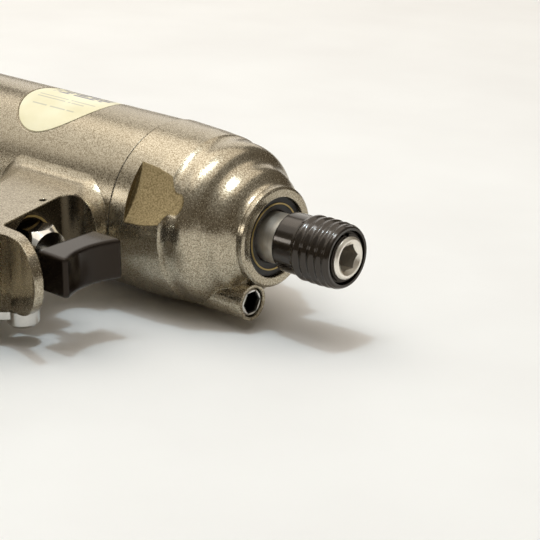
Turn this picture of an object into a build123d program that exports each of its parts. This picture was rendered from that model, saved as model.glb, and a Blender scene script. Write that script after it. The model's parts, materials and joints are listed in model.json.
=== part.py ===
"""Pneumatic pistol-grip impact driver with a 1/4 inch hex quick-change chuck.

Frame, in millimetres: the spindle axis is X and the bit leaves towards +X, with the
anvil's nose at x = 0. +Y is the tool's top (the grip hangs towards -Y) and +Z is its
right-hand side, which faces up when the tool lies on its left side.
"""
from build123d import *
from math import cos, radians, sin
import os

os.makedirs("parts", exist_ok=True)

# ---------------------------------------------------------------- driving dimensions
HEX_AF = 6.45            # bit socket across flats, for 1/4 inch (6.35 mm) hex bits
NOSE_R = 5.5             # anvil nose
SHAFT_R = 6.6            # anvil shaft behind the chuck
JOURNAL_R = 7.0          # anvil journal in its bushing
SLEEVE_R = 8.0           # quick-change sleeve
RIDGE_R = 8.6            # crests of its grip ridges
NECK_BORE_R = 9.4        # bore of the hammer case's neck
SEAL_BORE_R = 10.6       # its wider mouth, where the oil seal sits
COLLAR_R = 13.2          # front collar of the hammer case
CASE_R = 23.8            # hammer case at the parting line
BARREL_R = 23.5          # motor housing barrel
BORE_R = 20.2            # motor housing bore
SPIGOT_R = 21.0          # case spigot in the mouth of the housing
CAVITY_R = 19.7          # hammer cavity
PART_X = -61.5           # parting plane between housing and case
REAR_X = -136.0          # rear face of the barrel
FLAT_ANGLES = (152, 332)             # wrench flats, from +Y towards +Z
FLAT_DIST, FLAT_DRAFT = 21.88, 1.3    # their middle from the spindle axis, and their cast draft
CAGE_R = 19.2            # hammer cage
PIN_Y = 15.2             # hammer pins from the spindle axis
ROTOR_R = 14.3
CYL_BORE_R = 16.5
CYL_OFFSET = 1.9         # cylinder bore centre above the rotor axis
TRIGGER_Y = -45.6        # throttle axis
INLET_X = -77.0          # air inlet axis
EXHAUST_X = -89.5        # exhaust passage axis
GRIP_END_Y = -128.0      # bottom of the cast grip
REGULATOR_Y = -70.0      # air regulator, across the inlet passage
PORT_X = -72.0           # ports from the throttle up to the motor
BUSHING_PIN = (-70.0, -37.7)         # pin that locks the throttle bushing
BUSHING_R = 7.5          # throttle bushing's body
PLUG_Y, PLUG_Z = -8.1, -15.8          # grease plug axis


def outline(points, plane=Plane.XY):
    """Flat face inside a closed polyline."""
    with BuildSketch(plane) as sketch:
        with BuildLine():
            Polyline(*points, close=True)
        make_face()
    return sketch.sketch


def ring(x0, x1, r_in, r_out):
    """Section of a plain ring about the spindle axis, ready to revolve."""
    return outline([(x0, r_in), (x1, r_in), (x1, r_out), (x0, r_out)])


def across(x, y=0.0, z=0.0):
    """Plane square to the spindle axis: its local x is +Y and its local y is +Z."""
    return Plane(origin=(x, y, z), x_dir=(0, 1, 0), z_dir=(1, 0, 0))


def level(y, x=0.0, z=0.0):
    """Plane square to the grip: its local x is +X and its local y is +Z."""
    return Plane(origin=(x, y, z), x_dir=(1, 0, 0), z_dir=(0, -1, 0))


def grip_loft(sections):
    """Rounded grip stations (y, front x, rear x, half thickness, corner radius)."""
    with BuildPart() as grip:
        for y, front, rear, half, corner in sections:
            with BuildSketch(level(y, (front + rear) / 2)):
                RectangleRounded(front - rear, 2 * half, corner)
        loft()
    return grip.part


def save(builder, name):
    builder.part.label = name
    export_step(builder.part, f"parts/{name}.step")


# ---------------------------------------------------------------- motor housing and grip
LABEL_X, LABEL_HALF, LABEL_HIGH = -98.6, 13.9, 15.4

UPPER_GRIP = [(-19.1, PART_X, -108.3, 13.4, 9.6), (-20.3, PART_X, -106.9, 11.9, 9.6),
              (-21.8, PART_X, -105.5, 10.6, 9.6), (-23.9, PART_X, -103.9, 9.95, 9.6),
              (-27, PART_X, -101.8, 9.8, 9.6), (-31, -59.5, -99.9, 9.8, 9.6),
              (-37, -54.5, -98.0, 9.8, 9.6), (-44, -49.5, -96.8, 9.8, 9.6),
              (-51, -46.3, -96.2, 9.8, 9.6), (-57, -44.8, -96.0, 9.8, 9.6),
              (-61, -44.4, -96.0, 9.8, 9.6), (-64, -44.4, -96.1, 9.8, 9.6)]
GUARD_GRIP = [UPPER_GRIP[-1], (-66.2, -49.5, -96.3, 9.8, 9.6), (-69, -55.5, -96.5, 9.9, 9.6),
              (-72.5, -60.0, -96.8, 10.2, 9.6), (-77, -62.6, -97.3, 10.8, 9.6),
              (-82, -63.6, -97.9, 11.6, 9.6), (-88, -63.8, -98.5, 12.5, 9.6)]
LOWER_GRIP = [GUARD_GRIP[-1], (-101, -62.6, -99.5, 13.8, 9.8),
              (-115, -60.3, -100.0, 14.8, 10.4), (GRIP_END_Y, -57.5, -99.5, 15.5, 11)]

# shallow oval recess that the name plate lies in
with BuildPart() as plate_recess:
    revolve(ring(-120, -75, BARREL_R - 0.35, BARREL_R + 5), axis=Axis.X)
    with BuildSketch(Plane.XY.offset(10)):
        with Locations((LABEL_X, 0)):
            Ellipse(LABEL_HALF + 0.4, LABEL_HIGH + 0.4)
    extrude(amount=20, mode=Mode.INTERSECT)

with BuildPart() as motor_housing:
    revolve(ring(REAR_X, PART_X, 0, BARREL_R), axis=Axis.X)
    for stations in (UPPER_GRIP, GUARD_GRIP, LOWER_GRIP):
        add(grip_loft(stations))
    # finger space in front of the grip, and the finger guard's thin underside
    with BuildSketch(Plane.XY):
        with BuildLine():
            Polyline((-30, -5), (PART_X, -5), (PART_X, -27.6), (-63.5, -27.6))
            ThreePointArc((-63.5, -27.6), (-67.6, -29.3), (-69.1, -32.6))
            Line((-69.1, -32.6), (-63.7, -55.9))
            RadiusArc((-63.7, -55.9), (-61.8, -57.1), -1.8)
            Polyline((-61.8, -57.1), (-56, -57.7), (-51, -59.3), (-43, -61.6), (-30, -61.6),
                     (-30, -5))
        make_face()
    extrude(amount=30, both=True, mode=Mode.SUBTRACT)
    with BuildSketch(Plane.XY):
        with BuildLine():
            Polyline((-40, -64.2), (-45.2, -63.9), (-51, -62.2), (-57, -61.1), (-60.0, -61.4))
            RadiusArc((-60.0, -61.4), (-65.0, -67.0), -5.6)
            Polyline((-65.0, -67.0), (-64.6, -71.0), (-40, -71.0), (-40, -64.2))
        make_face()
    extrude(amount=30, both=True, mode=Mode.SUBTRACT)
    # motor bore and the case spigot's seat
    revolve(ring(REAR_X, PART_X, 0, BORE_R), axis=Axis.X, mode=Mode.SUBTRACT)
    revolve(ring(-67.2, PART_X, 0, SPIGOT_R), axis=Axis.X, mode=Mode.SUBTRACT)
    # throttle valve chamber, its spot face, and the pin that locks its bushing
    with BuildSketch(across(-68.2, TRIGGER_Y)):
        Circle(9.0)
    extrude(amount=9, mode=Mode.SUBTRACT)
    with BuildSketch(across(-84, TRIGGER_Y)):
        Circle(BUSHING_R + 0.05)
    extrude(amount=25, mode=Mode.SUBTRACT)
    with BuildSketch(Plane.XY.offset(-20)):
        with Locations(BUSHING_PIN):
            Circle(1.0)
    extrude(amount=40, mode=Mode.SUBTRACT)
    # air inlet and exhaust, the regulator's bore, and the ports up to the motor
    for x, radius, top, bottom in ((INLET_X, 4.0, -47, GRIP_END_Y),
                                   (EXHAUST_X, 3.6, -18, GRIP_END_Y)):
        with BuildSketch(level(top, x)):
            Circle(radius)
        extrude(amount=top - bottom, mode=Mode.SUBTRACT)
    with BuildSketch(level(GRIP_END_Y + 17, INLET_X)):
        Circle(8.2)
    extrude(amount=17, mode=Mode.SUBTRACT)
    with BuildSketch(level(GRIP_END_Y + 20, EXHAUST_X - 0.8)):
        SlotOverall(14, 7.2, rotation=90)
    extrude(amount=20, mode=Mode.SUBTRACT)
    with BuildSketch(Plane.XY.offset(-20)):
        with Locations((INLET_X, REGULATOR_Y)):
            Circle(4.55)
    extrude(amount=27, mode=Mode.SUBTRACT)
    for side in (-5, 5):
        with BuildSketch(level(-18, PORT_X, side)):
            Circle(1.8)
        extrude(amount=24, mode=Mode.SUBTRACT)
    add(plate_recess.part, mode=Mode.SUBTRACT)
save(motor_housing, "motor_housing")

with BuildPart() as name_plate:
    revolve(ring(-120, -75, BARREL_R - 0.35, BARREL_R - 0.05), axis=Axis.X)
    with BuildSketch(Plane.XY.offset(10)):
        with Locations((LABEL_X, 0)):
            Ellipse(LABEL_HALF, LABEL_HIGH)
    extrude(amount=20, mode=Mode.INTERSECT)
save(name_plate, "name_plate")

# ---------------------------------------------------------------- hammer case
BOSS_R, BOSS_FACE_X = 4.8, -25.2
SEAT_X = BOSS_FACE_X - 5.4   # seat of the plug's washer, sunk in the boss

with BuildPart() as hammer_case:
    with BuildSketch(Plane.XY):
        with BuildLine():
            Polyline((-38.5, 0), (-61.2, 0), (-61.2, CASE_R - 0.25), (-60.9, CASE_R),
                     (-56, 23.55), (-50, 23.25), (-44.5, 22.75))
            Spline((-44.5, 22.75), (-42.1, 21.95), (-39.8, 21.85), (-37.2, 21.25), (-35.2, 19.95),
                   (-33.8, 18.35), (-32.2, 17.3), (-30.3, 16.5), (-28.4, 14.8), (-27.1, 13.4),
                   (-26.3, 13.0))
            Polyline((-26.3, 13.0), (-25.9, 13.0), (-25.5, COLLAR_R), (-24.3, COLLAR_R),
                     (-23.8, 12.6), (-23.8, 0), (-38.5, 0))
        make_face()
    revolve(axis=Axis.X)
    with BuildSketch(across(-48, PLUG_Y, PLUG_Z)):
        Circle(BOSS_R)
    extrude(amount=BOSS_FACE_X + 48)
    with BuildSketch(across(-48)):
        with Locations((0.7 * PLUG_Y, 0.7 * PLUG_Z)):
            Rectangle(10, 6.5, rotation=62.9)
    extrude(amount=21.4)
    for angle in FLAT_ANGLES:
        normal = (0, cos(radians(angle)), sin(radians(angle)))
        lean, run = sin(radians(FLAT_DRAFT)), cos(radians(FLAT_DRAFT))
        flat = Plane(origin=(-46, FLAT_DIST * normal[1], FLAT_DIST * normal[2]),
                     x_dir=(run, -lean * normal[1], -lean * normal[2]),
                     z_dir=(lean, run * normal[1], run * normal[2]))
        with BuildSketch(flat):
            Rectangle(19.5, 24)
        extrude(amount=6, mode=Mode.SUBTRACT)
    revolve(ring(-67.2, -61.2, CAVITY_R, SPIGOT_R), axis=Axis.X)
    revolve(outline([(-67.2, 0), (-67.2, CAVITY_R), (-40, CAVITY_R), (-38.5, 18.2), (-38.5, 0)]),
            axis=Axis.X, mode=Mode.SUBTRACT)
    revolve(ring(-38.6, -23, 0, NECK_BORE_R), axis=Axis.X, mode=Mode.SUBTRACT)
    revolve(ring(-28.6, -23, 0, SEAL_BORE_R), axis=Axis.X, mode=Mode.SUBTRACT)
    with BuildSketch(across(-41.5, PLUG_Y, PLUG_Z)):
        Circle(2.5)
    extrude(amount=20, mode=Mode.SUBTRACT)
    with BuildSketch(across(SEAT_X, PLUG_Y, PLUG_Z)):
        Circle(3.9)
    extrude(amount=14, mode=Mode.SUBTRACT)
save(hammer_case, "hammer_case")

with BuildPart() as case_gasket:
    revolve(ring(PART_X, -61.2, SPIGOT_R, BARREL_R - 0.1), axis=Axis.X)
save(case_gasket, "case_gasket")

with BuildPart() as plug_washer:
    with BuildSketch(across(SEAT_X, PLUG_Y, PLUG_Z)):
        Circle(3.8)
        Circle(2.55, mode=Mode.SUBTRACT)
    extrude(amount=0.7)
save(plug_washer, "plug_washer")

with BuildPart() as grease_plug:
    with BuildSketch(across(-40, PLUG_Y, PLUG_Z)):
        Circle(2.45)
    extrude(amount=40 + SEAT_X + 0.7)
    with BuildSketch(across(SEAT_X + 0.7, PLUG_Y, PLUG_Z)):
        Circle(3.6)
    extrude(amount=4.4)
    chamfer(grease_plug.faces().sort_by(Axis.X)[-1].edges(), 0.35)
    with BuildSketch(across(SEAT_X + 5.1, PLUG_Y, PLUG_Z)):
        RegularPolygon(2.75, 6, major_radius=False)
    extrude(amount=-3.8, mode=Mode.SUBTRACT)
save(grease_plug, "grease_plug")

# ---------------------------------------------------------------- case nose
with BuildPart() as anvil_bushing:
    revolve(ring(-38.4, -28.6, JOURNAL_R + 0.05, NECK_BORE_R), axis=Axis.X)
    revolve(ring(-36, -31, JOURNAL_R, JOURNAL_R + 0.5), axis=Axis.X, mode=Mode.SUBTRACT)
save(anvil_bushing, "anvil_bushing")

with BuildPart() as seal_ring:
    revolve(ring(-25.8, -24.7, 8.5, 8.9), axis=Axis.X)
save(seal_ring, "seal_ring")

with BuildPart() as oil_seal:
    revolve(outline([(-28.6, SEAL_BORE_R - 0.15), (-24.9, SEAL_BORE_R - 0.15), (-24.9, 8.9),
                     (-25.8, 8.9), (-25.8, 8.5), (-24.9, 8.5), (-25.2, 7.0), (-25.6, 6.75),
                     (-28.6, 6.75)]), axis=Axis.X)
save(oil_seal, "oil_seal")

with BuildPart() as thrust_washer:
    revolve(ring(-39.5, -38.6, JOURNAL_R + 0.4, 12.5), axis=Axis.X)
save(thrust_washer, "thrust_washer")

# ---------------------------------------------------------------- anvil and chuck
with BuildPart() as anvil:
    revolve(outline([(0, 0), (0, 4.9), (-0.6, NOSE_R), (-1.0, NOSE_R), (-1.0, 4.9), (-1.8, 4.9),
                     (-1.8, NOSE_R), (-14.6, NOSE_R), (-14.6, SHAFT_R), (-28.75, SHAFT_R),
                     (-28.9, JOURNAL_R), (-39.7, JOURNAL_R), (-39.7, 8.8), (-41.6, 8.8),
                     (-41.6, 7.2), (-60.4, 7.2), (-60.4, 0)]), axis=Axis.X)
    with BuildSketch(across(-60.4)):
        Circle(9.0)
        Rectangle(6.5, 20, mode=Mode.INTERSECT)
    extrude(amount=18.8)
    with BuildSketch(across(-24.0)):
        RegularPolygon(HEX_AF / 2, 6, major_radius=False)
    extrude(amount=24.0, mode=Mode.SUBTRACT)
    revolve(outline([(0, 0), (0, 4.35), (-0.85, 3.3), (-0.85, 0)]), axis=Axis.X,
            mode=Mode.SUBTRACT)
    with BuildSketch(Plane.XY.offset(-8)):
        with Locations((-9.0, 0)):
            Circle(1.65)
    extrude(amount=16, mode=Mode.SUBTRACT)
save(anvil, "anvil")

with BuildPart() as detent_balls:
    with Locations((-9.0, 0, 4.15), (-9.0, 0, -4.15)):
        Sphere(1.6)
save(detent_balls, "detent_balls")

with BuildPart() as chuck_sleeve:
    with BuildSketch(Plane.XY):
        with BuildLine():
            Polyline((-0.9, 6.95), (-0.8, 7.6), (-1.2, 7.95), (-1.7, 8.1))
            Spline((-1.7, 8.1), (-2.2, 8.3), (-3.0, 8.05), (-4.1, RIDGE_R - 0.1), (-5.2, 8.1),
                   (-6.4, RIDGE_R), (-7.6, 8.1), (-8.8, RIDGE_R), (-10.0, 8.1), (-11.2, RIDGE_R - 0.1),
                   (-12.5, SLEEVE_R))
            Polyline((-12.5, SLEEVE_R), (-13.2, 7.85), (-18.7, 7.8), (-19.2, 7.5), (-19.2, 7.0),
                     (-10.8, 7.0), (-10.4, 5.8), (-7.6, 5.8), (-7.6, 6.95), (-0.9, 6.95))
        make_face()
    revolve(axis=Axis.X)
save(chuck_sleeve, "chuck_sleeve")

with BuildPart() as sleeve_washer:
    revolve(ring(-2.5, -1.8, NOSE_R + 0.02, 6.6), axis=Axis.X)
save(sleeve_washer, "sleeve_washer")

with BuildPart() as snap_ring:
    revolve(ring(-1.75, -1.05, 4.95, 6.1), axis=Axis.X)
    with BuildSketch(Plane.XY.offset(4)):
        with Locations((-1.4, 0)):
            Rectangle(2, 1.6)
    extrude(amount=4, mode=Mode.SUBTRACT)
save(snap_ring, "snap_ring")

with BuildPart() as sleeve_spring:
    with BuildLine() as coil:
        Helix(pitch=1.4, height=4.2, radius=6.22, center=(-7.2, 0, 0), direction=(1, 0, 0))
    with BuildSketch(Plane(origin=coil.line @ 0, z_dir=coil.line % 0)):
        Circle(0.25)
    sweep(is_frenet=True)
save(sleeve_spring, "sleeve_spring")

# ---------------------------------------------------------------- hammer mechanism
with BuildPart() as hammer_cage:
    revolve(ring(-45.2, -42.2, 9.4, CAGE_R), axis=Axis.X)
    revolve(ring(-65.2, -61.2, 0, CAGE_R), axis=Axis.X)
    with BuildSketch(across(-61.2)):
        Circle(CAGE_R)
        Circle(15.8, mode=Mode.SUBTRACT)
        Rectangle(21, 60, mode=Mode.INTERSECT)
    extrude(amount=16)
    with BuildSketch(across(-65.2)):
        RegularPolygon(5.0, 6, major_radius=False)
        with Locations((PIN_Y, 0), (-PIN_Y, 0)):
            Circle(2.0)
    extrude(amount=23, mode=Mode.SUBTRACT)
save(hammer_cage, "hammer_cage")

with BuildPart() as hammer_pins:
    for side in (PIN_Y, -PIN_Y):
        with BuildSketch(across(-65.2, side)):
            Circle(2.0)
        extrude(amount=23)
save(hammer_pins, "hammer_pins")

for hammer, side, rear in (("front_hammer", 1, -53.0), ("rear_hammer", -1, -60.8)):
    with BuildPart() as dog:
        with BuildSketch(across(rear)):
            Circle(14.2)
            with Locations((side * 13.0, 0)):
                Rectangle(5.5, 8.4)
            with Locations((side * PIN_Y, 0)):
                Circle(3.7)
            Circle(10.3, mode=Mode.SUBTRACT)
            with Locations((side * PIN_Y, 0)):
                Circle(2.08, mode=Mode.SUBTRACT)
            with Locations((-side * PIN_Y, 0)):
                Rectangle(4.9, 8.6, mode=Mode.SUBTRACT)
        extrude(amount=7.4)
    save(dog, hammer)

# ---------------------------------------------------------------- motor
FRONT_PLATE_X, CYL_FRONT_X, CYL_REAR_X, REAR_PLATE_X = -67.3, -74.3, -118.3, -125.3

with BuildPart() as front_end_plate:
    revolve(ring(CYL_FRONT_X, FRONT_PLATE_X, 5.6, BORE_R), axis=Axis.X)
    revolve(ring(-72.8, FRONT_PLATE_X, 0, 11.0), axis=Axis.X, mode=Mode.SUBTRACT)
    with BuildSketch(across(-71, -17.4)):
        Circle(1.2)
    extrude(amount=-4, mode=Mode.SUBTRACT)
    for side in (-5, 5):
        with BuildSketch(level(-14.6, PORT_X, side)):
            Circle(1.8)
        extrude(amount=8, mode=Mode.SUBTRACT)
        with BuildSketch(across(CYL_FRONT_X, -15.0, side)):
            Circle(1.5)
        extrude(amount=4.5, mode=Mode.SUBTRACT)
save(front_end_plate, "front_end_plate")

with BuildPart() as motor_cylinder:
    revolve(ring(CYL_REAR_X, CYL_FRONT_X, 0, BORE_R), axis=Axis.X)
    with BuildSketch(across(CYL_REAR_X, CYL_OFFSET)):
        Circle(CYL_BORE_R)
    extrude(amount=44, mode=Mode.SUBTRACT)
    with BuildSketch(across(CYL_REAR_X, -17.4)):
        Circle(1.2)
    extrude(amount=44, mode=Mode.SUBTRACT)
    for x in (-88, -91, -94):
        with BuildSketch(level(-10, x, 5.5)):
            Circle(1.1)
        extrude(amount=12, mode=Mode.SUBTRACT)
save(motor_cylinder, "motor_cylinder")

with BuildPart() as rear_end_plate:
    revolve(ring(REAR_PLATE_X, CYL_REAR_X, 4.6, BORE_R), axis=Axis.X)
    revolve(ring(REAR_PLATE_X, -119.8, 0, 9.5), axis=Axis.X, mode=Mode.SUBTRACT)
    with BuildSketch(across(-122, -17.4)):
        Circle(1.2)
    extrude(amount=5, mode=Mode.SUBTRACT)
save(rear_end_plate, "rear_end_plate")

with BuildPart() as motor_pin:
    with BuildSketch(across(-121.8, -17.4)):
        Circle(1.2)
    extrude(amount=50.6)
save(motor_pin, "motor_pin")

VANE_ANGLES = range(0, 360, 60)
with BuildPart() as rotor:
    revolve(outline([(-118.0, 0), (-118.0, ROTOR_R), (-74.6, ROTOR_R), (-74.6, 5.0),
                     (-66.2, 5.0), (-66.2, 0)]), axis=Axis.X)
    revolve(ring(-125.0, -118.0, 0, 4.0), axis=Axis.X)
    with BuildSketch(across(-66.2)):
        RegularPolygon(4.97, 6, major_radius=False)
    extrude(amount=4.8)
    for angle in VANE_ANGLES:
        with BuildSketch(Plane(origin=(-118, 0, 0), x_dir=(0, cos(radians(angle)),
                               sin(radians(angle))), z_dir=(1, 0, 0))):
            with Locations((10.9, 0)):
                Rectangle(7.4, 1.7)
        extrude(amount=43.4, mode=Mode.SUBTRACT)
save(rotor, "rotor")

with BuildPart() as rotor_vanes:
    for angle in VANE_ANGLES:
        with BuildSketch(Plane(origin=(-117.9, 0, 0), x_dir=(0, cos(radians(angle)),
                               sin(radians(angle))), z_dir=(1, 0, 0))):
            with Locations((10.7, 0)):
                Rectangle(6.8, 1.6)
        extrude(amount=43.2)
save(rotor_vanes, "rotor_vanes")

# bearings: name, front x, rear x, shaft radius, inner race top, outer race bottom, seat radius
BEARINGS = (("front_bearing", -67.6, -72.8, 5.0, 6.6, 9.1, 11.0),
            ("rear_bearing", -119.8, -124.8, 4.0, 5.3, 7.9, 9.5))
for name, front, rear, shaft, inner, outer, seat in BEARINGS:
    ball_r = (outer - inner - 0.4) / 2
    with BuildPart() as inner_race:
        revolve(ring(rear, front, shaft, inner), axis=Axis.X)
    save(inner_race, name + "_inner")
    with BuildPart() as outer_race:
        revolve(ring(rear, front, outer, seat), axis=Axis.X)
    save(outer_race, name + "_outer")
    with BuildPart() as balls:
        with Locations(across((front + rear) / 2)):
            with PolarLocations(inner + ball_r, 9):
                Sphere(ball_r)
    save(balls, name + "_balls")

with BuildPart() as preload_washer:
    revolve(ring(-126.9, REAR_PLATE_X, 16.2, 19.9), axis=Axis.X)
save(preload_washer, "preload_washer")

# ---------------------------------------------------------------- rear cap
with BuildPart() as rear_cap:
    with BuildSketch(Plane.XY):
        with BuildLine():
            Polyline((-127.0, 16.5), (-127.0, BORE_R), (REAR_X, BORE_R), (REAR_X, BARREL_R),
                     (-139.5, BARREL_R))
            Spline((-139.5, BARREL_R), (-143.5, 22.3), (-147.0, 19.2), (-149.3, 14.5),
                   (-150.0, 9.0), tangents=((-1, 0), (0, -1)))
            Polyline((-150.0, 9.0), (-150.0, 0), (-146.0, 0), (-146.0, 9.0), (-142.5, 14.5),
                     (-138.0, 16.5), (-127.0, 16.5))
        make_face()
    revolve(axis=Axis.X)
    revolve(ring(-134.2, -132.0, 18.4, BORE_R + 1), axis=Axis.X, mode=Mode.SUBTRACT)
    for side in (-1, 1):
        with BuildSketch(across(-151, side * 12.5)):
            Circle(2.0)
        extrude(amount=6, mode=Mode.SUBTRACT)
save(rear_cap, "rear_cap")

with BuildPart() as rear_cap_seal:
    revolve(ring(-134.2, -132.0, 18.4, BORE_R), axis=Axis.X)
save(rear_cap_seal, "rear_cap_seal")

# ---------------------------------------------------------------- trigger and throttle
with BuildPart() as trigger:
    with BuildSketch(Plane.XY):
        with BuildLine():
            Line((-52.7, -36.0), (-44.4, -35.9))
            RadiusArc((-44.4, -35.9), (-43.2, -37.0), 1.2)
            ThreePointArc((-43.2, -37.0), (-45.4, -46.0), (-43.2, -54.3))
            RadiusArc((-43.2, -54.3), (-44.4, -55.4), 1.2)
            Polyline((-44.4, -55.4), (-52.7, -55.2), (-52.7, -36.0))
        make_face()
    extrude(amount=5.2, both=True)
    fillet(trigger.edges().filter_by(Axis.Z, reverse=True).filter_by(
        lambda e: e.center().X > -52.0), 0.9)
    with BuildSketch(across(-55.2, TRIGGER_Y)):
        Circle(3.6)
    extrude(amount=3.0)
    with BuildSketch(across(-55.2, TRIGGER_Y)):
        Circle(1.6)
    extrude(amount=4.4, mode=Mode.SUBTRACT)
save(trigger, "trigger")

with BuildPart() as trigger_stem:
    with BuildSketch(across(-73.9, TRIGGER_Y)):
        Circle(1.6)
    extrude(amount=23.1)
save(trigger_stem, "trigger_stem")

with BuildPart() as bushing_pin:
    with BuildSketch(Plane.XY.offset(-8.8)):
        with Locations(BUSHING_PIN):
            Circle(1.0)
    extrude(amount=17.4)
save(bushing_pin, "bushing_pin")

with BuildPart() as valve_bushing:
    with BuildSketch(across(-59.2, TRIGGER_Y)):
        RegularPolygon(6.2, 6, major_radius=False)
    extrude(amount=-8.3)
    with BuildSketch(across(-59.2, TRIGGER_Y)) as cone:
        Circle(5.6)
    extrude(cone.sketch, amount=-8.6, taper=-32, mode=Mode.INTERSECT)
    with BuildSketch(across(-67.5, TRIGGER_Y)):
        Circle(BUSHING_R)
    extrude(amount=-6.0)
    with BuildSketch(across(-68.8, TRIGGER_Y)):
        Circle(BUSHING_R + 1)
        Circle(5.4, mode=Mode.SUBTRACT)
    extrude(amount=-3.2, mode=Mode.SUBTRACT)
    with BuildSketch(Plane.XY.offset(-8)):
        with Locations((-70.4, TRIGGER_Y)):
            Circle(1.4)
    extrude(amount=16, mode=Mode.SUBTRACT)
    with BuildSketch(across(-59.2, TRIGGER_Y)):
        Circle(1.66)
    extrude(amount=-14.3, mode=Mode.SUBTRACT)
save(valve_bushing, "valve_bushing")

with BuildPart() as valve_ring:
    with BuildSketch(across(-68.2, TRIGGER_Y)):
        Circle(8.2)
        Circle(7.6, mode=Mode.SUBTRACT)
    extrude(amount=0.7)
save(valve_ring, "valve_ring")

with BuildPart() as throttle_valve:
    with BuildSketch(across(-76.5, TRIGGER_Y)):
        Circle(4.6)
    extrude(amount=2.3)
    with BuildSketch(across(-77.6, TRIGGER_Y)):
        Circle(2.4)
    extrude(amount=1.2)
save(throttle_valve, "throttle_valve")

with BuildPart() as throttle_spring:
    with BuildLine() as coil:
        Helix(pitch=2.1, height=6.3, radius=3.3, center=(-83.4, TRIGGER_Y, 0),
              direction=(1, 0, 0))
    with BuildSketch(Plane(origin=coil.line @ 0, z_dir=coil.line % 0)):
        Circle(0.35)
    sweep(is_frenet=True)
save(throttle_spring, "throttle_spring")

# ---------------------------------------------------------------- air regulator

SPOOL_Z, LEVER_Z = -10.4, -11.0
LEVER_END = (-58.7, -56.0)
with BuildPart() as regulator_valve:
    with BuildSketch(Plane.XY.offset(SPOOL_Z)):
        with Locations((INLET_X, REGULATOR_Y)):
            Circle(4.5)
    extrude(amount=17.2)
    with BuildSketch(level(REGULATOR_Y + 6, INLET_X)):
        Circle(3.2)
    extrude(amount=12, mode=Mode.SUBTRACT)
    with BuildSketch(Plane.XY.offset(SPOOL_Z)):
        with Locations((INLET_X, REGULATOR_Y)):
            Circle(1.4)
    extrude(amount=5, mode=Mode.SUBTRACT)
save(regulator_valve, "regulator_valve")

with BuildPart() as regulator_lever:
    with BuildSketch(Plane.XY.offset(LEVER_Z)):
        with Locations((INLET_X, REGULATOR_Y)):
            Circle(5.2)
        with Locations(LEVER_END):
            Circle(4.1)
        with BuildLine():
            Polyline((INLET_X - 3.16, REGULATOR_Y + 4.13), (LEVER_END[0] - 1.8, LEVER_END[1] + 2.4),
                     (LEVER_END[0] + 1.8, LEVER_END[1] - 2.4), (INLET_X + 3.16, REGULATOR_Y - 4.13),
                     close=True)
        make_face()
    extrude(amount=-2.0)
    with BuildSketch(Plane.XY.offset(LEVER_Z - 2.0)):
        with Locations(LEVER_END):
            Circle(4.1)
    extrude(amount=-2.4)
    chamfer(regulator_lever.faces().sort_by(Axis.Z)[0].edges(), 0.9)
    with BuildSketch(Plane.XY.offset(LEVER_Z - 5.0)):
        with Locations(LEVER_END):
            Rectangle(10, 1.5, rotation=75)
    extrude(amount=1.7, mode=Mode.SUBTRACT)
    with BuildSketch(Plane.XY.offset(LEVER_Z)):
        with Locations((INLET_X, REGULATOR_Y)):
            Circle(1.45)
    extrude(amount=-3, mode=Mode.SUBTRACT)
save(regulator_lever, "regulator_lever")

with BuildPart() as lever_screw:
    with BuildSketch(Plane.XY.offset(LEVER_Z - 2.0)):
        with Locations((INLET_X, REGULATOR_Y)):
            Circle(2.7)
    extrude(amount=-1.4)
    chamfer(lever_screw.faces().sort_by(Axis.Z)[0].edges(), 0.35)
    with BuildSketch(Plane.XY.offset(LEVER_Z - 2.0)):
        with Locations((INLET_X, REGULATOR_Y)):
            Circle(1.4)
    extrude(amount=6.5)
    with BuildSketch(Plane.XY.offset(LEVER_Z - 4.0)):
        with Locations((INLET_X, REGULATOR_Y)):
            Rectangle(3.4, 0.8)
            Rectangle(0.8, 3.4)
    extrude(amount=1.3, mode=Mode.SUBTRACT)
save(lever_screw, "lever_screw")

# ---------------------------------------------------------------- grip end
with BuildPart() as exhaust_gasket:
    with BuildSketch(level(GRIP_END_Y, -78.5)):
        RectangleRounded(41.4, 30.4, 10.7)
        with Locations((INLET_X + 78.5, 0)):
            Circle(8.2, mode=Mode.SUBTRACT)
        with Locations((EXHAUST_X - 0.8 + 78.5, 0)):
            SlotOverall(14, 7.2, rotation=90, mode=Mode.SUBTRACT)
    extrude(amount=0.8)
save(exhaust_gasket, "exhaust_gasket")

with BuildPart() as exhaust_cover:
    with BuildSketch(level(GRIP_END_Y - 0.8, -78.5)):
        RectangleRounded(42.0, 31.0, 11)
    extrude(amount=5.2)
    fillet(exhaust_cover.faces().sort_by(Axis.Y)[0].edges(), 1.6)
    with BuildSketch(level(GRIP_END_Y - 0.8, INLET_X)):
        Circle(8.2)
    extrude(amount=6, mode=Mode.SUBTRACT)
    with BuildSketch(level(GRIP_END_Y - 0.8, EXHAUST_X - 0.8)):
        for z in (-9.9, -3.3, 3.3, 9.9):
            for x in (-1.9, 1.9):
                with Locations((x + (0.8 if abs(z) > 9 else 0), z)):
                    Circle(1.25)
    extrude(amount=6, mode=Mode.SUBTRACT)
save(exhaust_cover, "exhaust_cover")

with BuildPart() as silencer_pad:
    with BuildSketch(level(GRIP_END_Y + 19.5, EXHAUST_X - 0.8)):
        SlotOverall(13.8, 7.0, rotation=90)
    extrude(amount=19.2)
save(silencer_pad, "silencer_pad")

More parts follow.
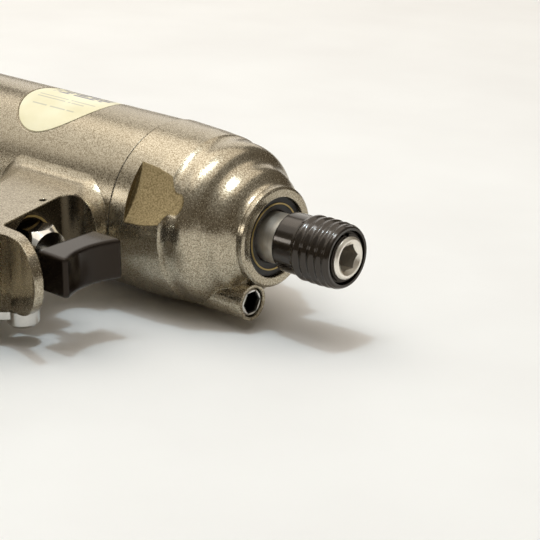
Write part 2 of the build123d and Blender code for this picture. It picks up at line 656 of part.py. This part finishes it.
with BuildPart() as inlet_bushing:
    with BuildSketch(level(GRIP_END_Y + 16.5, INLET_X)):
        Circle(8.15)
    extrude(amount=22.5)
    with BuildSketch(level(GRIP_END_Y - 6.0, INLET_X)):
        RegularPolygon(10.5, 6, major_radius=False)
        Circle(11.6, mode=Mode.INTERSECT)
    extrude(amount=5.5)
    with BuildSketch(level(GRIP_END_Y + 16.5, INLET_X)):
        Circle(4.6)
    extrude(amount=30, mode=Mode.SUBTRACT)
    with BuildSketch(level(GRIP_END_Y + 2.0, INLET_X)):
        Circle(5.9)
    extrude(amount=14, mode=Mode.SUBTRACT)
save(inlet_bushing, "inlet_bushing")

with BuildPart() as inlet_screen:
    with BuildSketch(level(GRIP_END_Y + 17, INLET_X)):
        Circle(5.9)
        with GridLocations(1.9, 1.9, 5, 5):
            Circle(0.55, mode=Mode.SUBTRACT)
    extrude(amount=0.5)
save(inlet_screen, "inlet_screen")
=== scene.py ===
import json
import math

import bpy
from mathutils import Matrix, Vector


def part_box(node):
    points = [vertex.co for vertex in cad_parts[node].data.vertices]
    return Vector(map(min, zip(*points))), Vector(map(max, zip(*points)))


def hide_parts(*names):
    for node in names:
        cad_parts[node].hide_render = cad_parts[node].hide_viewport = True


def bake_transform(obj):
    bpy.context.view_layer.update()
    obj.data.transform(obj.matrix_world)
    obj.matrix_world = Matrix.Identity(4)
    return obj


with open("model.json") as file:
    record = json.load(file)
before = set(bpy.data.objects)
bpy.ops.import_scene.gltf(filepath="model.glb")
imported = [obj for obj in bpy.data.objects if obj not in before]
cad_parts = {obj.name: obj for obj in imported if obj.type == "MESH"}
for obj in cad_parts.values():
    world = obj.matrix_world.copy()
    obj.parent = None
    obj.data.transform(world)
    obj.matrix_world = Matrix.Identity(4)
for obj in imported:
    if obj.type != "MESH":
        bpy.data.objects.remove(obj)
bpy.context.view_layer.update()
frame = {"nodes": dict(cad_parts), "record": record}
nodes = frame["nodes"]
MM = 0.001

# ---------------------------------------------------------------- colours and places

CHAMPAGNE, UMBER, GLINT = (0.575, 0.515, 0.398), (0.235, 0.193, 0.128), (0.90, 0.85, 0.74)
OLIVE_LIGHT, OLIVE_DARK = (0.42, 0.335, 0.185), (0.19, 0.145, 0.07)
PAPER_LIGHT, PAPER_DARK, INK = (0.93, 0.88, 0.64), (0.82, 0.75, 0.48), (0.030, 0.034, 0.14)
# the first colour on the next line is painted shade, laid inside the finger space
# the last colour on the next line is painted shade for the throttle bushing's seat
# the middle colour on the next line is painted shade for the grease plug's socket
SHADE, SOCKET_SHADE, SEAT_SHADE = (0.085, 0.068, 0.045), (0.012, 0.010, 0.008), (0.030, 0.024, 0.016)
# MESH_HOLE is painted shade: the dark inside seen through the screen's holes
WIRE, MESH_HOLE = (0.62, 0.61, 0.58), (0.03, 0.03, 0.03)

# finger space, where shade is painted: low end, high end and soft edge along x, y and z, in mm
FINGER_SPACE = ((-69.6, -58.5, 0.2), (-60.9, -27.9, 0.2), (-9.5, 9.45, 0.15))

# the hammer case's wrench flats, in degrees round x and in mm: they lie FLAT_DIST from the
# axis at x = FLAT_MIDDLE, and close in forwards by a small angle
FLAT_ANGLES, FLAT_ENDS = (152, 332), (-55.76, -36)
FLAT_DIST, FLAT_MIDDLE, FLAT_SLOPE = 21.88, -46, math.radians(1.3)

# the name plate's printed rules: middle, half width, rear end and front end, in mm from the
# plate's centre
RULES = ((9.6, 1.5, -7.5, 8.5), (6.3, 0.9, -9.5, 10.0), (4.2, 0.55, -10.5, 10.5),
         (2.6, 0.45, -11.0, 9.0), (-1.8, 0.30, -11.0, 11.0), (-3.2, 0.30, -10.5, 8.0),
         (-7.0, 0.25, -8.5, 8.5))

PLUG_SOCKET_R, PLUG_LIP = 3.28, 0.9      # the grease plug's socket, and the rim at its mouth kept out of the painted shade, in mm
BUSHING_SEAT = -65.6                     # the throttle bushing gets painted shade behind this x, in mm
MESH_PITCH = 0.7                         # pitch of the inlet screen's wires, in mm

# ---------------------------------------------------------------- material building


class Graph:
    """One node material, worked out from the object's own coordinates in metres."""

    def __init__(self, name, rough=0.4, metal=0.0, **sockets):
        self.name = name
        self.mat = bpy.data.materials.new(name)
        self.mat.use_nodes = True
        self.tree = self.mat.node_tree
        self.bsdf = self.tree.nodes["Principled BSDF"]
        self.bsdf.inputs["Roughness"].default_value = rough
        self.bsdf.inputs["Metallic"].default_value = metal
        for key, value in sockets.items():
            self.bsdf.inputs[key.replace("_", " ")].default_value = value
        self.coord = self.add("ShaderNodeTexCoord").outputs["Object"]
        split = self.add("ShaderNodeSeparateXYZ", Vector=self.coord)
        self.x, self.y, self.z = split.outputs

    def put(self, socket, value):
        if isinstance(value, bpy.types.NodeSocket):
            self.tree.links.new(value, socket)
        else:
            socket.default_value = value

    def add(self, kind, **values):
        node = self.tree.nodes.new(kind)
        for key, value in values.items():
            self.put(node.inputs[key], value)
        return node

    def math(self, operation, a, b=0.0, clamp=False):
        node = self.tree.nodes.new("ShaderNodeMath")
        node.operation = operation
        node.use_clamp = clamp
        self.put(node.inputs[0], a)
        self.put(node.inputs[1], b)
        return node.outputs[0]

    def chain(self, operation, values):
        """All the values joined by one operation."""
        total, *others = values
        for other in others:
            total = self.math(operation, total, other)
        return total

    def above(self, value, edge, soft):
        """0 below the edge, 1 above it, over a soft width."""
        shifted = self.math("SUBTRACT", value, edge - soft / 2)
        return self.math("DIVIDE", shifted, soft, clamp=True)

    def below(self, value, edge, soft):
        return self.math("SUBTRACT", 1.0, self.above(value, edge, soft))

    def band(self, value, low, high, soft=0.1 * MM):
        """1 between two edges, 0 outside them."""
        return self.math("MULTIPLY", self.above(value, low, soft), self.below(value, high, soft))

    def noise(self, scale, detail=2.0, rough=0.5, stretch=(1, 1, 1)):
        place = self.add("ShaderNodeMapping", Vector=self.coord, Scale=stretch)
        node = self.add("ShaderNodeTexNoise", Vector=place.outputs[0], Scale=scale,
                        Detail=detail, Roughness=rough)
        return node.outputs["Fac"]

    def cells(self, scale):
        node = self.add("ShaderNodeTexVoronoi", Vector=self.coord, Scale=scale)
        return node.outputs["Distance"]

    def spread(self, value, low, high, out_low=0.0, out_high=1.0):
        """The value's span from low to high, spread over the span that comes out."""
        node = self.add("ShaderNodeMapRange")
        for key, number in zip(("Value", "From Min", "From Max", "To Min", "To Max"),
                               (value, low, high, out_low, out_high)):
            self.put(node.inputs[key], number)
        return node.outputs[0]

    def mix(self, a, b, fac):
        node = self.tree.nodes.new("ShaderNodeMix")
        node.data_type = "RGBA"
        self.put(node.inputs[0], fac)
        for socket, value in ((node.inputs[6], a), (node.inputs[7], b)):
            self.put(socket, value if isinstance(value, bpy.types.NodeSocket) else (*value, 1))
        return node.outputs[2]

    def colour(self, value):
        self.put(self.bsdf.inputs["Base Color"], value)

    def tint(self, value, mask):
        """Another colour over the present one, where the mask is 1."""
        self.colour(self.mix(self.bsdf.inputs["Base Color"].links[0].from_socket, value, mask))

    def rough(self, value):
        self.put(self.bsdf.inputs["Roughness"], value)

    def relief(self, height, depth, edge=0.0):
        """Surface relief of a depth in metres, with edges softened by a radius."""
        node = self.add("ShaderNodeBump", Strength=1.0, Distance=depth, Height=height)
        if edge:
            soft = self.add("ShaderNodeBevel", Radius=edge)
            soft.samples = 4
            self.put(node.inputs["Normal"], soft.outputs[0])
        self.put(self.bsdf.inputs["Normal"], node.outputs[0])


def paint(name):
    """Fine-grained champagne metallic coat on a casting."""
    g = Graph(name, rough=0.3, metal=0.92)
    grain = g.noise(2600, 2.0, 0.6)
    flakes = g.cells(3300)
    cloud = g.noise(34, 3.0, 0.55)
    g.colour(g.mix(UMBER, CHAMPAGNE, g.spread(grain, 0.36, 0.64)))
    g.tint(GLINT, g.spread(flakes, 0.10, 0.42, 0.30, 0.0))
    g.tint(UMBER, g.spread(cloud, 0.40, 0.75, 0.0, 0.22))
    mottle = g.math("ADD", g.spread(grain, 0.3, 0.7, -0.04, 0.06),
                    g.spread(cloud, 0.3, 0.7, 0.21, 0.28))
    g.rough(mottle)
    height = g.math("ADD", grain, g.math("MULTIPLY", g.noise(700, 2.0), 1.2))
    g.relief(height, 0.000012, edge=0.0004)
    return g


def turned(name, base, rough, metal=1.0, lines=5200, depth=0.0000012, **sockets):
    """Metal turned about the spindle: fine rings round X."""
    g = Graph(name, rough=rough, metal=metal, **sockets)
    rings = g.noise(1.0, 3.0, 0.6, stretch=(lines, 60, 60))
    smear = g.noise(160, 3.0, 0.6)
    dark = tuple(0.86 * c for c in base)
    g.colour(g.mix(dark, base, g.spread(rings, 0.3, 0.7)))
    g.rough(g.spread(smear, 0.3, 0.7, rough * 0.75, rough * 1.3))
    g.relief(rings, depth, edge=0.0002)
    return g


def ground(name, base, rough, metal=1.0, scale=900, depth=0.000002, spots=None, edge=0.0002,
           **sockets):
    """Ground, plated or moulded surface with an even fine texture."""
    g = Graph(name, rough=rough, metal=metal, **sockets)
    fine = g.noise(scale, 3.0, 0.6)
    broad = g.noise(70, 2.0)
    dark = tuple(0.84 * c for c in base)
    g.colour(g.mix(dark, base, g.spread(fine, 0.3, 0.7)))
    if spots:
        g.tint(spots, g.spread(broad, 0.55, 0.72, 0.0, 0.5))
    g.rough(g.spread(broad, 0.3, 0.7, rough * 0.85, rough * 1.2))
    g.relief(fine, depth, edge=edge)
    return g


# ---------------------------------------------------------------- materials


def housing_paint():
    """The coat, with painted shade inside the finger space behind a thin bright edge."""
    g = paint("housing_paint")
    inner = [g.band(place, low * MM, high * MM, soft * MM)
             for place, (low, high, soft) in zip((g.x, g.y, g.z), FINGER_SPACE)]
    # painted shade over the inside of the finger space
    g.tint(SHADE, g.chain("MULTIPLY", inner))
    return g


def case_paint():
    """The same coat, with the two wrench flats machined after painting."""
    g = paint("case_paint")
    sheen = g.bsdf.inputs["Roughness"].links[0].from_socket
    lean, slope = math.cos(FLAT_SLOPE), math.sin(FLAT_SLOPE)
    level = (FLAT_DIST * lean + FLAT_MIDDLE * slope) * MM
    flats = []
    for angle in map(math.radians, FLAT_ANGLES):
        reach = g.chain("ADD", (g.math("MULTIPLY", g.y, math.cos(angle) * lean),
                                g.math("MULTIPLY", g.z, math.sin(angle) * lean),
                                g.math("MULTIPLY", g.x, slope)))
        flats.append(g.math("MULTIPLY", g.above(reach, level - 0.06 * MM, 0.05 * MM),
                            g.band(g.x, FLAT_ENDS[0] * MM, FLAT_ENDS[1] * MM, 0.04 * MM)))
    bare = g.chain("MAXIMUM", flats)
    etched = g.mix(OLIVE_DARK, OLIVE_LIGHT, g.spread(g.noise(2300, 2.0, 0.7), 0.34, 0.66))
    g.tint(etched, bare)
    g.rough(g.math("ADD", sheen, g.math("MULTIPLY", bare, 0.10)))
    return g


def plate_print():
    """Cream foil with plain printed rules, broken into dashes; the lower rules are faint."""
    g = Graph("name_plate", rough=0.35, Coat_Weight=0.2, Coat_Roughness=0.12)
    low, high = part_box("name_plate")
    mid = (low + high) / 2
    across = g.math("SUBTRACT", g.y, mid.y)
    along = g.math("SUBTRACT", g.x, mid.x)
    dashes = g.above(g.noise(1.0, 1.0, 0.5, stretch=(430, 160, 5)), 0.40, 0.05)
    rules = []
    for centre, half, rear, front in RULES:
        strength = 1.0 if centre > 0 else 0.35
        height = g.band(across, (centre - half) * MM, (centre + half) * MM)
        length = g.band(along, rear * MM, front * MM)
        rules.append(g.chain("MULTIPLY", (height, length, dashes, strength)))
    paper = g.mix(PAPER_DARK, PAPER_LIGHT, g.spread(g.noise(90, 3.0), 0.3, 0.7))
    g.colour(g.mix(paper, INK, g.math("MULTIPLY", g.chain("MAXIMUM", rules), 0.95)))
    g.relief(g.noise(240, 2.0), 0.000012)
    return g


def screen_mesh():
    """Woven wire of the inlet screen, across its face, with painted shade in the holes between
    the wires.
    """
    g = Graph("screen_steel", rough=0.35, metal=1.0)
    turns = 2 * math.pi / (MESH_PITCH * MM)
    weave = g.chain("MAXIMUM", [g.math("SINE", g.math("MULTIPLY", place, turns))
                                for place in (g.x, g.z)])
    # the holes between the wires get painted shade
    g.colour(g.mix(MESH_HOLE, WIRE, g.above(weave, 0.35, 0.3)))
    g.relief(weave, 0.00008)
    return g


def plug_metal():
    """Bright plated steel, with painted shade in the plug's hex socket."""
    g = ground("grease_plug", (0.88, 0.87, 0.83), 0.30, scale=1400, spots=(0.66, 0.64, 0.58))
    low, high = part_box("grease_plug")
    off_y = g.math("SUBTRACT", g.y, (low.y + high.y) / 2)
    off_z = g.math("SUBTRACT", g.z, (low.z + high.z) / 2)
    radius = g.math("SQRT", g.math("ADD", g.math("MULTIPLY", off_y, off_y),
                                   g.math("MULTIPLY", off_z, off_z)))
    deep = g.below(g.x, high.x - PLUG_LIP * MM, PLUG_LIP * MM)
    core = g.below(radius, PLUG_SOCKET_R * MM, 0.1 * MM)
    # painted shade deep in the hex socket
    g.tint(SOCKET_SHADE, g.math("MULTIPLY", deep, core))
    return g


def bushing_chrome():
    """The throttle bushing's head is bright, and its seat deep in the finger space has painted
    shade.
    """
    g = ground("valve_bushing", (0.80, 0.78, 0.74), 0.13, scale=300, depth=0.0000006)
    # painted shade on the seat, deep in the finger space
    g.tint(SEAT_SHADE, g.below(g.x, BUSHING_SEAT * MM, 1.2 * MM))
    return g


# one material for each slot in the record, and for each piece with a look of its own
looks = (
    housing_paint(),
    case_paint(),
    plate_print(),
    ground("gasket", (0.05, 0.045, 0.04), 0.75, metal=0.0, scale=1500, depth=0.00001),
    ground("copper_washer", (0.70, 0.69, 0.64), 0.3),
    ground("plated_steel", (0.66, 0.65, 0.61), 0.27, scale=1400, spots=(0.50, 0.48, 0.43)),
    turned("bronze", (0.62, 0.44, 0.22), 0.33),
    turned("brass", (0.44, 0.33, 0.14), 0.36),
    ground("seal_rubber", (0.022, 0.02, 0.018), 0.48, metal=0.0, scale=1200, depth=0.000006),
    turned("tool_steel", (0.97, 0.92, 0.83), 0.40),
    turned("bearing_steel", (0.74, 0.73, 0.71), 0.12),
    turned("black_sleeve", (0.034, 0.025, 0.017), 0.20, metal=0.6, lines=4200, depth=0.000002,
           Coat_Weight=0.5, Coat_Roughness=0.10),
    ground("spring_steel", (0.45, 0.43, 0.40), 0.3),
    ground("cast_iron", (0.33, 0.32, 0.30), 0.42, scale=1500, depth=0.000008),
    turned("cylinder_steel", (0.55, 0.53, 0.50), 0.3, lines=2500),
    ground("vane_composite", (0.33, 0.21, 0.11), 0.55, metal=0.0, scale=1700, depth=0.00001),
    ground("black_plastic", (0.008, 0.0055, 0.004), 0.10, metal=0.0, scale=500,
           depth=0.0000015, edge=0.0009, Specular_IOR_Level=0.34,
           Specular_Tint=(1.0, 0.82, 0.68, 1)),
    ground("chrome", (0.68, 0.66, 0.62), 0.12, scale=300, depth=0.0000006),
    ground("cover_plastic", (0.03, 0.028, 0.026), 0.5, metal=0.0, scale=1800, depth=0.000012,
           edge=0.0005),
    ground("silencer_felt", (0.52, 0.48, 0.40), 0.9, metal=0.0, scale=2600, depth=0.00006),
    screen_mesh(),
    plug_metal(),
    bushing_chrome(),
    # the pin is near-black: painted shade of the hole it sits sunk in
    ground("bushing_pin", (0.03, 0.027, 0.024), 0.5),
    ground("sleeve_retainer", (0.06, 0.052, 0.045), 0.4),
)
made = {look.name: look.mat for look in looks}
made["snap_ring"] = made["sleeve_washer"] = made["sleeve_retainer"]

slots = {row["node"]: row["material_slot"] for row in frame["record"]["subparts"]}
for name, piece in nodes.items():
    piece.data.materials.clear()
    piece.data.materials.append(made.get(name, made[slots[name]]))

# ---------------------------------------------------------------- springs


def coil(node):
    """A copy of the spring's mesh takes the place of the piece, which is hidden."""
    piece = bpy.data.objects.new(node + "_coils", nodes[node].data.copy())
    bpy.context.collection.objects.link(piece)
    piece.matrix_world = nodes[node].matrix_world
    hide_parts(node)
    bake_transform(piece)


coil("sleeve_spring")
coil("throttle_spring")

# ---------------------------------------------------------------- floor

# the tool lies on its left side, on the hammer case and the end of the grip
case_low = -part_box("hammer_case")[0].z
end_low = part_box("exhaust_cover")[0]
tilt = math.acos(case_low / math.hypot(end_low.y, end_low.z)) - math.atan2(-end_low.y, -end_low.z)
up = Vector((0, -math.sin(tilt), math.cos(tilt)))

bpy.ops.mesh.primitive_plane_add(size=6)
floor = bpy.context.object
floor.name = "floor"
slope = up.to_track_quat("Z", "Y").to_matrix().to_4x4()
floor.matrix_world = Matrix.Translation(-up * case_low) @ slope
g = Graph("floor_card", rough=0.8)
g.colour(g.mix((0.84, 0.83, 0.82), (0.88, 0.875, 0.865), g.spread(g.noise(16, 3.0), 0.3, 0.7)))
g.relief(g.noise(1.0, 3.0, 0.6, stretch=(900, 2400, 900)), 0.00005)
floor.data.materials.append(g.mat)

# ---------------------------------------------------------------- light

AIM = Vector((-0.045, -0.02, 0))      # all lights face the hammer case, on its grip side


def softbox(name, place, size, power, tint):
    data = bpy.data.lights.new(name, "AREA")
    data.shape = "RECTANGLE"
    data.size, data.size_y = size
    data.energy = power
    data.color = tint
    lamp = bpy.data.objects.new(name, data)
    lamp.location = place
    lamp.rotation_euler = (Vector(place) - AIM).to_track_quat("Z", "Y").to_euler()
    bpy.context.collection.objects.link(lamp)


softbox("key", (-0.05, -0.06, 0.85), (0.05, 0.05), 1.35, (0.68, 0.88, 1.0))
softbox("bank", (-0.10, -0.10, 0.90), (0.16, 0.45), 1.6, (0.88, 0.95, 1.0))
softbox("ceiling", (-0.15, 0.15, 1.20), (1.75, 1.75), 8.7, (1.0, 0.90, 0.775))
softbox("wall", (-0.75, -0.05, 0.72), (0.95, 0.95), 2.5, (1.0, 0.96, 0.90))
softbox("corner", (-0.62, 0.72, 0.36), (0.60, 0.60), 1.2, (1.0, 0.96, 0.90))
softbox("left", (-0.60, -0.66, 0.26), (0.16, 0.16), 0.42, (1.0, 0.97, 0.92))

world = bpy.data.worlds.new("studio")
bpy.context.scene.world = world
world.use_nodes = True
tree = world.node_tree
sky = tree.nodes["Background"]
way = tree.nodes.new("ShaderNodeTexCoord")
parts = tree.nodes.new("ShaderNodeSeparateXYZ")
shade = tree.nodes.new("ShaderNodeValToRGB")
tree.links.new(way.outputs["Generated"], parts.inputs[0])
tree.links.new(parts.outputs["Z"], shade.inputs[0])
tree.links.new(shade.outputs["Color"], sky.inputs["Color"])
# the sky is darkest low down and lightest overhead
stops = shade.color_ramp.elements
stops[0].color = (0.12, 0.095, 0.065, 1)
stops[1].color = (0.62, 0.61, 0.58, 1)
stops.new(0.25).color = (0.17, 0.14, 0.10, 1)
stops.new(0.55).color = (0.22, 0.195, 0.16, 1)
sky.inputs["Strength"].default_value = 0.85

# ---------------------------------------------------------------- camera

# a long lens, in front of the tool on the side its grip points to, looking down a little;
# the three axes are the camera's own
data = bpy.data.cameras.new("camera")
data.lens, data.sensor_width = 120, 36
data.clip_start = 0.01
camera = bpy.data.objects.new("camera", data)
bpy.context.collection.objects.link(camera)
right = Vector((0.75235, 0.65873, -0.00697))
rise = Vector((-0.23167, 0.27447, 0.93327))
back = Vector((0.6167, -0.7005, 0.3591))
turn = Matrix((right, rise, back)).transposed()
camera.matrix_world = Matrix.Translation((0.2599, -0.32519, 0.15717)) @ turn.to_4x4()
bpy.context.scene.camera = camera
bpy.context.scene.view_settings.view_transform = "Standard"
